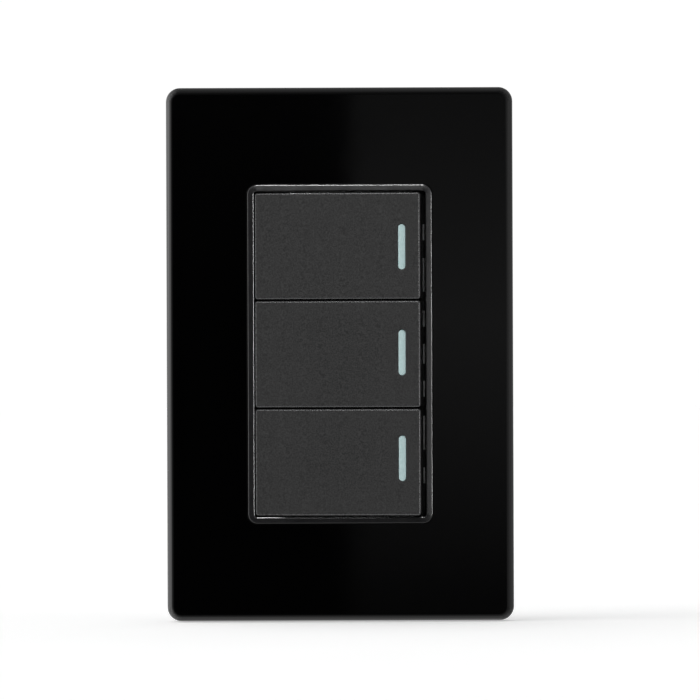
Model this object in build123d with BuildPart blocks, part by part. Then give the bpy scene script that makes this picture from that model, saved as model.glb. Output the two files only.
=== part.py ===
from build123d import *
import os
from math import cos, radians, sin

os.makedirs("parts", exist_ok=True)

# The wall is the XZ plane and the switch faces -Y. A "height" is a distance in front of the
# wall, so anything inside the wall box has a negative height. All sizes are in millimetres.

# Cover plate
plate_width = 78.0
plate_height = 120.0
plate_depth = 8.5
plate_corner_radius = 3.2
plate_edge_round = 1.6
plate_face_thickness = 2.0
plate_side_wall = 1.8
plate_rib_thickness = 1.0
plate_rib_height = 1.6
plate_rib_side_gap = 2.2

# Trim ring round the window
trim_corner_radius = 2.1
trim_band = 1.4
trim_proud = 0.8
trim_foot_height = 3.6
trim_outer_round = 0.35
trim_inner_round = 0.3
trim_seat_gap = 0.05
trim_flange_width = 3.3
trim_flange_thickness = 1.0
stake_radius = 0.9
stake_hole_gap = 0.1
stake_rows = 3
stake_row_pitch = 28.0
stake_head_length = 0.8

# Three switch modules, one above the other
gang_names = ["top", "middle", "bottom"]
gang_pitch = 24.3
rocker_gap = 0.4
rocker_end_gap = 0.4
rocker_side_gap = 0.7

# Rocker key
rocker_width = 37.2
rocker_face_height = 10.3
rocker_face_thickness = 2.0
rocker_skirt_thickness = 1.2
rocker_side_skirt_drop = 5.0
rocker_end_skirt_drop = 4.4
rocker_corner_radius = 0.6
rocker_edge_round = 0.35
rocker_tilt = -4.0
pivot_height = 2.8

# Indicator strip in the key's face
strip_length = 10.2
strip_width = 1.65
strip_gap = 0.1
strip_edge_distance = 4.1
strip_pitch = 23.75
strip_rise = 0.3
strip_recess = 0.05
strip_flange_margin = 0.9
strip_flange_thickness = 0.6

# Module body
module_width = 33.6
module_gap = 0.7
module_wall = 1.6
module_corner_radius = 0.8
module_split_height = -6.0
module_rear_height = -22.0
module_floor = 1.6
flange_height = 3.2
flange_side_gap = 0.2
flange_module_gap = 0.3
ear_height = 5.2
ear_half_width = 4.0
pin_radius = 1.4
pin_running_gap = 0.05
moving_clearance = 0.3
tooth_height = 0.45
tooth_depth = 0.35
# Offset from the module's middle and length of each tooth, from the top module down
tooth_rows = [
    [(3.1, 3.6), (-6.5, 7.6)],
    [(7.9, 3.6), (0, 4.5), (-7.9, 3.6)],
    [(6.5, 7.6), (-3.1, 3.6)],
]
tongue_width = 6.0
tongue_drop = 5.0
tongue_thickness = 0.8
tongue_gap = 0.1
tongue_window_width = 3.6
tongue_window_height = 1.8
lip_height = 1.5
lip_thickness = 0.8
lip_gap = 0.1
latch_width = 8.0
latch_reach = 0.8
latch_thickness = 0.9
latch_gap = 0.15
back_panel_width = 11.0
back_panel_height = 15.0
back_panel_radius = 1.0
back_panel_depth = 0.4

# Carrier that the key clips on
carrier_top_height = 7.2
carrier_plate_thickness = 1.6
carrier_side_gap = 3.4
cheek_thickness = 1.4
cheek_half_width = 3.5
cheek_boss_radius = 2.6
tube_outer_radius = 3.3
tube_bore_radius = 2.3
tube_end_height = -5.5
tube_roof = 1.2
key_rib_z = 5.2
key_rib_thickness = 1.2
key_rib_end_gap = 2.0
key_post_x = 10.0
key_post_z = 7.6
key_post_radius = 1.0
key_post_gap = 0.05
key_post_stick_out = 0.5

# Plunger and its spring
plunger_gap = 0.1
plunger_tip_height = -9.2
plunger_tip_radius = 1.3
plunger_shoulder_height = -1.5
plunger_body_end_height = -6.6
plunger_pilot_radius = 1.2
plunger_pilot_height = 0.6
spring_wire_radius = 0.3
spring_coil_radius = 1.75
spring_pitch = 0.95
spring_end_gap = 0.05

# Contact lever
lever_axis_height = -10.5
lever_tilt = 6.0
lever_top = 1.0
lever_thickness = 0.8
lever_left_arm = 10.2
lever_right_arm = 7.2
lever_width = 5.6
lever_cheek_thickness = 0.5
lever_cheek_height = 1.4
lever_cheek_half_length = 3.2
fulcrum_radius = 0.5
fulcrum_gap = 0.05
contact_x = -8.5
contact_radius = 1.6
contact_thickness = 0.8
contact_round = 0.3
contact_shank_radius = 0.8
contact_shank_gap = 0.02
fixed_contact_top_height = -12.45

# Terminals
terminal_strip_thickness = 1.0
terminal_strip_width = 5.0
terminal_block_length = 5.6
terminal_end_gap = 0.3
terminal_block_width = 7.0
fixed_strip_end_x = -6.4
wire_bore_radius = 1.6
wire_bore_height = -16.8
wire_entry_gap = 0.5
screw_radius = 1.5
screw_thread_gap = 0.05
screw_tip_gap = 0.2
screw_head_radius = 2.3
screw_head_gap = 0.4
screw_head_thickness = 1.6
screw_back_off = 0.5
screw_slot_width = 0.7
screw_slot_depth = 0.8
rail_thickness = 1.0
rail_gap = 0.2
rail_height = 4.6

# Support frame behind the cover
frame_side_inset = 4.0
frame_corner_radius = 4.0
frame_thickness = 2.0
frame_rib_height = 4.0
frame_rib_thickness = 1.4
frame_window_rib_height = 3.0
frame_window_rib_inset = 0.9
frame_window_gap = 0.3
separator_gap = 0.1
box_screw_margin = 5.35
box_screw_slot_length = 10.0
box_screw_slot_width = 4.0
snap_edge_distance = 4.0
snap_rows = 3
snap_row_pitch = 42.0
snap_thickness = 1.6
snap_width = 5.0
snap_gap = 0.3
snap_tip_height = 0.4
snap_barb_reach = 0.6
snap_barb_height = 0.7
snap_pocket_depth = 1.2
opening_length = 14.0
opening_width = 3.0
opening_edge_distance = 8.0
opening_row_pitch = 42.0
end_opening_edge_distance = 13.0
end_opening_rise = 4.0

# Box screws
box_screw_radius = 1.75
box_screw_length = 20.0
box_screw_neck_radius = 1.3
box_screw_head_radius = 3.3
box_screw_head_thickness = 2.0
box_screw_slot = 0.9
box_screw_slot_depth = 1.0
box_screw_point = 0.6

# Sizes that follow from the ones above
rocker_height = gang_pitch - rocker_gap
window_width = rocker_width + 2 * rocker_side_gap
window_height = 2 * gang_pitch + rocker_height + 2 * rocker_end_gap
trim_width = window_width + 2 * trim_band
trim_height = window_height + 2 * trim_band
trim_front_height = plate_depth + trim_proud
trim_flange_top = plate_depth - plate_face_thickness
strip_x = rocker_width / 2 - strip_edge_distance
carrier_half_width = rocker_width / 2 - rocker_skirt_thickness - carrier_side_gap
flange_reach = window_width / 2 - flange_side_gap
module_height = gang_pitch - module_gap
gang_offsets = [gang_pitch, 0.0, -gang_pitch]
module_inner_width = module_width - 2 * module_wall
module_inner_height = module_height - 2 * module_wall
frame_window_width = module_width + 2 * frame_window_gap
frame_window_height = 2 * gang_pitch + module_height + 2 * frame_window_gap
frame_width = plate_width - 2 * frame_side_inset
frame_height = plate_height - 2 * frame_side_inset
box_screw_pitch = frame_window_height + 2 * box_screw_margin
snap_x = frame_width / 2 - snap_edge_distance
opening_x = frame_width / 2 - opening_edge_distance
end_opening_x = frame_width / 2 - end_opening_edge_distance
end_opening_z = box_screw_pitch / 2 + end_opening_rise
latch_pocket_depth = 2 * latch_gap + latch_thickness
plate_inner_end_z = plate_height / 2 - plate_side_wall
plate_rib_z = (trim_height / 2 + trim_flange_width + plate_inner_end_z) / 2
plate_rib_x = plate_width / 2 - plate_side_wall - plate_rib_side_gap
cheek_outer_z = module_inner_height / 2 - moving_clearance
pin_end_z = module_height / 2 - moving_clearance
tube_roof_height = carrier_top_height - tube_roof
terminal_top_height = fixed_contact_top_height - contact_thickness
terminal_block_top = terminal_top_height - terminal_strip_thickness
module_floor_height = module_rear_height + module_floor
housing_inner_width = module_inner_width - 2 * lip_gap - 2 * lip_thickness
housing_inner_height = module_inner_height - 2 * lip_gap - 2 * lip_thickness
terminal_block_outer_x = housing_inner_width / 2 - terminal_end_gap
terminal_block_inner_x = terminal_block_outer_x - terminal_block_length
terminal_block_x = (terminal_block_inner_x + terminal_block_outer_x) / 2
screw_tip_height = wire_bore_height - wire_bore_radius - screw_tip_gap


def front_plane(height, module_z=0.0):
    """Plane parallel to the wall at a height, with X to the right and its own Y upward."""
    return Plane(origin=(0, -height, module_z), x_dir=(1, 0, 0), z_dir=(0, -1, 0))


def swung_plane(axis_height, swing, module_z, height):
    """A front plane carried round an upright axis at axis_height by the swing in degrees."""
    turn = radians(swing)
    hinge = Plane(
        origin=(0, -axis_height, module_z),
        x_dir=(cos(turn), sin(turn), 0),
        z_dir=(sin(turn), -cos(turn), 0),
    )
    return hinge.offset(height - axis_height)


def swung_section(axis_height, swing, z):
    """Horizontal plane through an upright axis: own X along the swung part, own Y inward."""
    turn = radians(swing)
    return Plane(
        origin=(0, -axis_height, z),
        x_dir=(cos(turn), sin(turn), 0),
        z_dir=(0, 0, 1),
    )


def rocker_plane(module_z, height):
    return swung_plane(pivot_height, rocker_tilt, module_z, height)


def save(built, name):
    built.part.label = name
    export_step(built.part, f"parts/{name}.step")


# Cover plate: a deep shell with a rounded front edge, a window, ribs, stakes and snap pegs
with BuildPart() as cover_plate:
    with BuildSketch(front_plane(0)):
        RectangleRounded(plate_width, plate_height, plate_corner_radius)
    extrude(amount=plate_depth)
    front_face = cover_plate.faces().sort_by(Axis.Y)[0]
    fillet(front_face.edges(), radius=plate_edge_round)
    with BuildSketch(front_plane(0)):
        RectangleRounded(
            plate_width - 2 * plate_side_wall,
            plate_height - 2 * plate_side_wall,
            plate_corner_radius - plate_side_wall,
        )
    extrude(amount=plate_depth - plate_face_thickness, mode=Mode.SUBTRACT)
    # Stiffening ribs across the two end panels and down both sides
    rib_top = plate_depth - plate_face_thickness
    with BuildSketch(front_plane(rib_top - plate_rib_height)):
        with GridLocations(0, 2 * plate_rib_z, 1, 2):
            Rectangle(plate_width - 2 * plate_side_wall + plate_rib_thickness, plate_rib_thickness)
        with GridLocations(2 * plate_rib_x, 0, 2, 1):
            Rectangle(plate_rib_thickness, plate_height - 2 * plate_side_wall + plate_rib_thickness)
    extrude(amount=plate_rib_height)
    # Window that the trim ring passes through
    with BuildSketch(front_plane(0)):
        RectangleRounded(
            trim_width + 2 * trim_seat_gap,
            trim_height + 2 * trim_seat_gap,
            trim_corner_radius + trim_seat_gap,
        )
    extrude(amount=plate_depth, mode=Mode.SUBTRACT)
    # Round stakes that hold the trim ring's flange
    stake_length = trim_flange_thickness + stake_head_length
    with BuildSketch(front_plane(rib_top - stake_length)):
        with GridLocations(trim_width + trim_flange_width, stake_row_pitch, 2, stake_rows):
            Circle(stake_radius)
    extrude(amount=stake_length)
    # Snap pegs with an outward barb near the wall
    with BuildSketch(front_plane(snap_tip_height)):
        with GridLocations(2 * snap_x, snap_row_pitch, 2, snap_rows):
            Rectangle(snap_thickness, snap_width)
    extrude(amount=rib_top - snap_tip_height)
    with BuildSketch(front_plane(snap_tip_height)):
        barb_x = snap_x + snap_thickness / 2 + snap_barb_reach / 2
        with GridLocations(2 * barb_x, snap_row_pitch, 2, snap_rows):
            Rectangle(snap_barb_reach, snap_width)
    extrude(amount=snap_barb_height)
save(cover_plate, "cover_plate")


# Trim ring: a rectangular tube with softened front edges and a flange behind the plate
with BuildPart() as window_trim:
    with BuildSketch(front_plane(trim_foot_height)):
        RectangleRounded(trim_width, trim_height, trim_corner_radius)
    extrude(amount=trim_front_height - trim_foot_height)
    with BuildSketch(front_plane(trim_flange_top - trim_flange_thickness)):
        RectangleRounded(
            trim_width + 2 * trim_flange_width,
            trim_height + 2 * trim_flange_width,
            trim_corner_radius + trim_flange_width,
        )
    extrude(amount=trim_flange_thickness)
    with BuildSketch(front_plane(trim_foot_height)):
        RectangleRounded(window_width, window_height, trim_corner_radius - trim_band)
    extrude(amount=trim_front_height - trim_foot_height, mode=Mode.SUBTRACT)
    trim_face = window_trim.faces().sort_by(Axis.Y)[0]
    fillet(trim_face.outer_wire().edges(), radius=trim_outer_round)
    trim_face = window_trim.faces().sort_by(Axis.Y)[0]
    fillet(trim_face.inner_wires()[0].edges(), radius=trim_inner_round)
    with BuildSketch(front_plane(trim_flange_top - trim_flange_thickness)):
        with GridLocations(trim_width + trim_flange_width, stake_row_pitch, 2, stake_rows):
            Circle(stake_radius + stake_hole_gap)
    extrude(amount=trim_flange_thickness, mode=Mode.SUBTRACT)
save(window_trim, "window_trim")


# Support frame: a flat plate with a module window, slots for the box screws and ribs
with BuildPart() as support_frame:
    with BuildSketch(front_plane(0)):
        RectangleRounded(frame_width, frame_height, frame_corner_radius)
    extrude(amount=frame_thickness)
    with BuildSketch(front_plane(frame_thickness)):
        RectangleRounded(frame_width, frame_height, frame_corner_radius)
        RectangleRounded(
            frame_width - 2 * frame_rib_thickness,
            frame_height - 2 * frame_rib_thickness,
            frame_corner_radius - frame_rib_thickness,
            mode=Mode.SUBTRACT,
        )
    extrude(amount=frame_rib_height - frame_thickness)
    # Window rib on both sides of the modules, outside the module flanges
    with BuildSketch(front_plane(frame_thickness)):
        with GridLocations(trim_width + frame_rib_thickness + 2 * frame_window_rib_inset, 0, 2, 1):
            Rectangle(frame_rib_thickness, frame_window_height)
    extrude(amount=frame_window_rib_height - frame_thickness)
    # Window for the modules
    with BuildSketch(front_plane(0)):
        RectangleRounded(frame_window_width, frame_window_height, module_corner_radius)
    extrude(amount=frame_thickness, mode=Mode.SUBTRACT)
    with BuildSketch(front_plane(0)):
        with GridLocations(0, box_screw_pitch, 1, 2):
            SlotOverall(box_screw_slot_length, box_screw_slot_width)
    extrude(amount=frame_thickness, mode=Mode.SUBTRACT)
    # Sockets for the snap pegs, with a pocket on the wall side for each barb
    with BuildSketch(front_plane(0)):
        with GridLocations(2 * snap_x, snap_row_pitch, 2, snap_rows):
            Rectangle(snap_thickness + 2 * snap_gap, snap_width + 2 * snap_gap)
    extrude(amount=frame_thickness, mode=Mode.SUBTRACT)
    with BuildSketch(front_plane(0)):
        pocket_width = snap_barb_reach + 2 * snap_gap
        pocket_x = snap_x + snap_thickness / 2 + pocket_width / 2
        with GridLocations(2 * pocket_x, snap_row_pitch, 2, snap_rows):
            Rectangle(pocket_width, snap_width + 2 * snap_gap)
    extrude(amount=snap_pocket_depth, mode=Mode.SUBTRACT)
    # Slim separators across the window, in the gaps between neighbouring modules
    with BuildSketch(front_plane(0)):
        with GridLocations(0, gang_pitch, 1, 2):
            Rectangle(frame_window_width + 2 * separator_gap, module_gap - 2 * separator_gap)
    extrude(amount=frame_thickness)
    # Pockets on the wall side of the window's edges for the module latches
    with BuildSketch(front_plane(0)):
        with GridLocations(frame_window_width + latch_reach, gang_pitch, 2, 3):
            Rectangle(latch_reach + 2 * latch_gap, latch_width + 2 * frame_window_gap)
    extrude(amount=latch_pocket_depth, mode=Mode.SUBTRACT)
    # Long openings between the sockets
    with BuildSketch(front_plane(0)):
        with GridLocations(2 * opening_x, opening_row_pitch, 2, 2):
            SlotOverall(opening_length, opening_width, rotation=90)
        with GridLocations(2 * end_opening_x, 2 * end_opening_z, 2, 2):
            SlotOverall(opening_length, opening_width)
    extrude(amount=frame_thickness, mode=Mode.SUBTRACT)
save(support_frame, "support_frame")


# Two captive box screws: slotted pan head, thin neck through the frame, full thread behind it
with BuildPart() as box_screws:
    with BuildSketch(front_plane(frame_thickness)):
        with GridLocations(0, box_screw_pitch, 1, 2):
            Circle(box_screw_head_radius)
    extrude(amount=box_screw_head_thickness)
    head_rims = box_screws.faces().group_by(Axis.Y)[0].edges()
    fillet(head_rims, radius=box_screw_head_thickness / 2)
    with BuildSketch(front_plane(0)):
        with GridLocations(0, box_screw_pitch, 1, 2):
            Circle(box_screw_neck_radius)
    extrude(amount=frame_thickness)
    with BuildSketch(front_plane(-box_screw_length)):
        with GridLocations(0, box_screw_pitch, 1, 2):
            Circle(box_screw_radius)
    extrude(amount=box_screw_length)
    screw_points = box_screws.faces().group_by(Axis.Y)[-1].edges()
    chamfer(screw_points, length=box_screw_point)
    with BuildSketch(front_plane(frame_thickness + box_screw_head_thickness)):
        with GridLocations(0, box_screw_pitch, 1, 2):
            Rectangle(box_screw_head_radius * 3, box_screw_slot)
            Rectangle(box_screw_slot, box_screw_head_radius)
    extrude(amount=-box_screw_slot_depth, mode=Mode.SUBTRACT)
save(box_screws, "box_screws")


# Front half of a module: walls, end flanges on the frame, ears that hold the rocker pins
def build_collar(module_z, teeth):
    with BuildPart() as collar:
        with BuildSketch(front_plane(module_split_height, module_z)):
            RectangleRounded(module_width, module_height, module_corner_radius)
        extrude(amount=flange_height - module_split_height)
        # End flanges
        with BuildSketch(front_plane(frame_thickness, module_z)):
            RectangleRounded(
                2 * flange_reach,
                gang_pitch - flange_module_gap,
                module_corner_radius,
            )
        extrude(amount=flange_height - frame_thickness)
        # Ears above both long walls
        with BuildSketch(front_plane(flange_height, module_z)):
            with GridLocations(0, module_height - module_wall, 1, 2):
                Rectangle(2 * ear_half_width, module_wall)
        extrude(amount=ear_height - flange_height)
        # Teeth along the outer edge of each end flange
        with BuildSketch(front_plane(flange_height, module_z)):
            for tooth_offset, tooth_length in teeth:
                with Locations((0, tooth_offset)):
                    with GridLocations(2 * flange_reach - tooth_depth, 0, 2, 1):
                        Rectangle(tooth_depth, tooth_length)
        extrude(amount=tooth_height)
        # Latches in the pockets on the frame's wall side
        with BuildSketch(front_plane(latch_gap, module_z)):
            with GridLocations(module_width + latch_reach, 0, 2, 1):
                Rectangle(latch_reach, latch_width)
        extrude(amount=latch_thickness)
        # Hollow inside
        with BuildSketch(front_plane(module_split_height, module_z)):
            Rectangle(module_inner_width, module_inner_height)
        extrude(amount=ear_height - module_split_height, mode=Mode.SUBTRACT)
        # Pin holes through both ears
        with BuildSketch(swung_section(pivot_height, 0, module_z - module_height)):
            Circle(pin_radius + pin_running_gap)
        extrude(amount=2 * module_height, mode=Mode.SUBTRACT)
        # Tongues that hang over the rear housing, each with a window for its catch
        tongue_x = module_width / 2 - tongue_thickness / 2
        with BuildSketch(front_plane(module_split_height, module_z)):
            with GridLocations(2 * tongue_x, 0, 2, 1):
                Rectangle(tongue_thickness, tongue_width)
        extrude(amount=-tongue_drop)
        with BuildSketch(front_plane(module_split_height - tongue_drop / 2, module_z)):
            with GridLocations(2 * tongue_x, 0, 2, 1):
                Rectangle(2 * tongue_thickness, tongue_window_width)
        extrude(amount=tongue_window_height / 2, both=True, mode=Mode.SUBTRACT)
    return collar


# Rear half of a module: an open-fronted box with wire entries in its ends and screw wells
def build_housing(module_z):
    with BuildPart() as housing:
        with BuildSketch(front_plane(module_rear_height, module_z)):
            RectangleRounded(module_width, module_height, module_corner_radius)
        extrude(amount=module_split_height - module_rear_height)
        rear_face = housing.faces().sort_by(Axis.Y)[-1]
        chamfer(rear_face.edges(), length=module_corner_radius / 2)
        # Locating lip inside the collar
        with BuildSketch(front_plane(module_split_height, module_z)):
            Rectangle(module_inner_width - 2 * lip_gap, module_inner_height - 2 * lip_gap)
        extrude(amount=lip_height)
        with BuildSketch(front_plane(module_floor_height, module_z)):
            Rectangle(housing_inner_width, housing_inner_height)
        extrude(amount=lip_height + module_split_height - module_floor_height, mode=Mode.SUBTRACT)
        # Recess under each tongue, and the catch that fills the tongue's window
        recess_depth = tongue_thickness + tongue_gap
        with BuildSketch(front_plane(module_split_height, module_z)):
            with GridLocations(module_width - recess_depth, 0, 2, 1):
                Rectangle(recess_depth, tongue_width + 2 * moving_clearance)
        extrude(amount=-tongue_drop - moving_clearance, mode=Mode.SUBTRACT)
        with BuildSketch(front_plane(module_split_height - tongue_drop / 2, module_z)):
            with GridLocations(module_width - recess_depth, 0, 2, 1):
                Rectangle(recess_depth, tongue_window_width - 2 * tongue_gap)
        extrude(amount=tongue_window_height / 2 - tongue_gap, both=True)
        # Rails that stand beside each terminal block
        rail_z = terminal_block_width + 2 * rail_gap + rail_thickness
        with BuildSketch(front_plane(module_floor_height, module_z)):
            with GridLocations(2 * terminal_block_x, rail_z, 2, 2):
                Rectangle(terminal_block_length, rail_thickness)
        extrude(amount=rail_height)
        # Wire entries through both ends
        with BuildSketch(Plane.YZ.offset(-module_width)):
            with Locations((-wire_bore_height, module_z)):
                Circle(wire_bore_radius + wire_entry_gap)
        extrude(amount=2 * module_width, mode=Mode.SUBTRACT)
        # Wells for the terminal screws
        with BuildSketch(front_plane(module_rear_height, module_z)):
            with GridLocations(2 * terminal_block_x, 0, 2, 1):
                Circle(screw_head_radius + screw_head_gap)
        extrude(amount=module_floor, mode=Mode.SUBTRACT)
        # Shallow panel on the back, between the screws
        with BuildSketch(front_plane(module_rear_height, module_z)):
            RectangleRounded(back_panel_width, back_panel_height, back_panel_radius)
        extrude(amount=back_panel_depth, mode=Mode.SUBTRACT)
    return housing


# Rocker key: a shallow cap with skirts, ribs, clip posts and a slot for the indicator strip
def build_key(module_z, strip_z):
    with BuildPart() as key:
        with BuildSketch(rocker_plane(module_z, rocker_face_height - rocker_side_skirt_drop)):
            RectangleRounded(rocker_width, rocker_height, rocker_corner_radius)
        extrude(amount=rocker_side_skirt_drop)
        key_face = key.faces().sort_by(Axis.Y)[0]
        fillet(key_face.edges(), radius=rocker_edge_round)
        with BuildSketch(rocker_plane(module_z, rocker_face_height - rocker_side_skirt_drop)):
            Rectangle(
                rocker_width - 2 * rocker_skirt_thickness,
                rocker_height - 2 * rocker_skirt_thickness,
            )
        extrude(amount=rocker_side_skirt_drop - rocker_face_thickness, mode=Mode.SUBTRACT)
        # The upper and lower skirts are shorter than the two ends
        with BuildSketch(rocker_plane(module_z, rocker_face_height - rocker_side_skirt_drop)):
            Rectangle(rocker_width - 4 * rocker_skirt_thickness, 2 * rocker_height)
        extrude(amount=rocker_side_skirt_drop - rocker_end_skirt_drop, mode=Mode.SUBTRACT)
        # Ribs that rest on the carrier
        rib_drop = rocker_face_height - rocker_face_thickness - carrier_top_height
        with BuildSketch(rocker_plane(module_z, carrier_top_height)):
            with GridLocations(0, 2 * key_rib_z, 1, 2):
                Rectangle(2 * carrier_half_width - 2 * key_rib_end_gap, key_rib_thickness)
        extrude(amount=rib_drop)
        # Clip posts through the carrier
        post_end = carrier_top_height - carrier_plate_thickness - key_post_stick_out
        with BuildSketch(rocker_plane(module_z, post_end)):
            with GridLocations(2 * key_post_x, 2 * key_post_z, 2, 2):
                Circle(key_post_radius)
        extrude(amount=rocker_face_height - rocker_face_thickness - post_end)
        # Slot for the strip
        with BuildSketch(rocker_plane(module_z, rocker_face_height - rocker_face_thickness)):
            with Locations((strip_x, strip_z)):
                SlotOverall(strip_length + 2 * strip_gap, strip_width + 2 * strip_gap, rotation=90)
        extrude(amount=rocker_face_thickness, mode=Mode.SUBTRACT)
    return key


# Indicator strip: a lens in the key's slot with a wider foot behind the face
def build_strip(module_z, strip_z):
    foot_height = rocker_face_height - rocker_face_thickness
    with BuildPart() as strip:
        with BuildSketch(rocker_plane(module_z, foot_height)):
            with Locations((strip_x, strip_z)):
                SlotOverall(strip_length, strip_width, rotation=90)
        extrude(amount=rocker_face_thickness - strip_recess)
        with BuildSketch(rocker_plane(module_z, foot_height)):
            with Locations((strip_x, strip_z)):
                SlotOverall(
                    strip_length + 2 * strip_flange_margin,
                    strip_width + 2 * strip_flange_margin,
                    rotation=90,
                )
        extrude(amount=-strip_flange_thickness)
    return strip


# Carrier: a plate under the key, two cheeks with hinge pins, and a tube for the plunger
def build_carrier(module_z):
    plate_bottom = carrier_top_height - carrier_plate_thickness
    with BuildPart() as carrier:
        with BuildSketch(rocker_plane(module_z, plate_bottom)):
            RectangleRounded(2 * carrier_half_width, 2 * cheek_outer_z, module_corner_radius)
        extrude(amount=carrier_plate_thickness)
        for side in (-1, 1):
            inner_z = module_z + side * (cheek_outer_z - cheek_thickness)
            with BuildSketch(swung_section(pivot_height, rocker_tilt, inner_z)):
                Circle(cheek_boss_radius)
                with Locations((0, -(plate_bottom - pivot_height) / 2)):
                    Rectangle(2 * cheek_half_width, plate_bottom - pivot_height)
            extrude(amount=side * cheek_thickness)
            with BuildSketch(swung_section(pivot_height, rocker_tilt, inner_z)):
                Circle(pin_radius)
            extrude(amount=side * (pin_end_z - cheek_outer_z + cheek_thickness))
        with BuildSketch(rocker_plane(module_z, tube_end_height)):
            Circle(tube_outer_radius)
        extrude(amount=plate_bottom - tube_end_height)
        with BuildSketch(rocker_plane(module_z, tube_end_height)):
            Circle(tube_bore_radius)
        extrude(amount=tube_roof_height - tube_end_height, mode=Mode.SUBTRACT)
        with BuildSketch(rocker_plane(module_z, plate_bottom)):
            with GridLocations(2 * key_post_x, 2 * key_post_z, 2, 2):
                Circle(key_post_radius + key_post_gap)
        extrude(amount=carrier_plate_thickness, mode=Mode.SUBTRACT)
    return carrier


# Plunger: a round pin with a pilot for the spring and a rounded tip
def build_plunger(module_z):
    body_radius = tube_bore_radius - plunger_gap
    tip_centre = plunger_tip_height + plunger_tip_radius
    with BuildPart() as plunger:
        with BuildSketch(rocker_plane(module_z, plunger_body_end_height)):
            Circle(body_radius)
        extrude(amount=plunger_shoulder_height - plunger_body_end_height)
        with BuildSketch(rocker_plane(module_z, plunger_shoulder_height)):
            Circle(plunger_pilot_radius)
        extrude(amount=plunger_pilot_height - plunger_shoulder_height)
        with BuildSketch(rocker_plane(module_z, tip_centre)):
            Circle(plunger_tip_radius)
        extrude(amount=plunger_body_end_height - tip_centre)
        with Locations(rocker_plane(module_z, tip_centre).location):
            Sphere(plunger_tip_radius)
    return plunger


# Compression spring inside the carrier's tube
def build_spring(module_z):
    start_height = plunger_shoulder_height + spring_wire_radius + spring_end_gap
    end_height = tube_roof_height - spring_wire_radius - spring_end_gap
    start_plane = rocker_plane(module_z, start_height)
    with BuildPart() as spring:
        with BuildLine():
            coil = Helix(
                pitch=spring_pitch,
                height=end_height - start_height,
                radius=spring_coil_radius,
                center=start_plane.origin,
                direction=start_plane.z_dir,
            )
        with BuildSketch(Plane(origin=coil @ 0, z_dir=coil % 0)):
            Circle(spring_wire_radius)
        sweep(is_frenet=True)
    return spring


# Contact lever: a flat brass arm that rocks on the common terminal
def build_lever(module_z):
    with BuildPart() as lever:
        with BuildSketch(swung_section(lever_axis_height, lever_tilt, module_z)):
            with Locations(((lever_right_arm - lever_left_arm) / 2, -lever_top + lever_thickness / 2)):
                Rectangle(lever_left_arm + lever_right_arm, lever_thickness)
            Circle(fulcrum_radius + fulcrum_gap, mode=Mode.SUBTRACT)
        extrude(amount=lever_width / 2, both=True)
        # Cheeks that keep the plunger's tip on the arm
        with BuildSketch(swung_plane(lever_axis_height, lever_tilt, module_z, lever_axis_height + lever_top)):
            with GridLocations(0, lever_width - lever_cheek_thickness, 1, 2):
                Rectangle(2 * lever_cheek_half_length, lever_cheek_thickness)
        extrude(amount=lever_cheek_height)
        # Hole for the moving contact's rivet
        with BuildSketch(swung_plane(lever_axis_height, lever_tilt, module_z, lever_axis_height)):
            with Locations((contact_x, 0)):
                Circle(contact_shank_radius)
        extrude(amount=lever_top, mode=Mode.SUBTRACT)
    return lever


# Moving contact: a silver button under the lever with its rivet shank
def build_moving_contact(module_z):
    button_top = lever_axis_height + lever_top - lever_thickness
    with BuildPart() as contact:
        with BuildSketch(swung_plane(lever_axis_height, lever_tilt, module_z, button_top)):
            with Locations((contact_x, 0)):
                Circle(contact_radius)
        extrude(amount=-contact_thickness)
        fillet(contact.faces().sort_by(Axis.Y)[-1].edges(), radius=contact_round)
        with BuildSketch(swung_plane(lever_axis_height, lever_tilt, module_z, button_top)):
            with Locations((contact_x, 0)):
                Circle(contact_shank_radius - contact_shank_gap)
        extrude(amount=lever_thickness)
    return contact


# Fixed contact: the button that the lever closes onto
def build_fixed_contact(module_z):
    with BuildPart() as contact:
        with BuildSketch(front_plane(terminal_top_height, module_z)):
            with Locations((contact_x, 0)):
                Circle(contact_radius)
        extrude(amount=contact_thickness)
        fillet(contact.faces().sort_by(Axis.Y)[0].edges(), radius=contact_round)
        with BuildSketch(front_plane(terminal_block_top, module_z)):
            with Locations((contact_x, 0)):
                Circle(contact_shank_radius - contact_shank_gap)
        extrude(amount=terminal_strip_thickness)
    return contact


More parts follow.
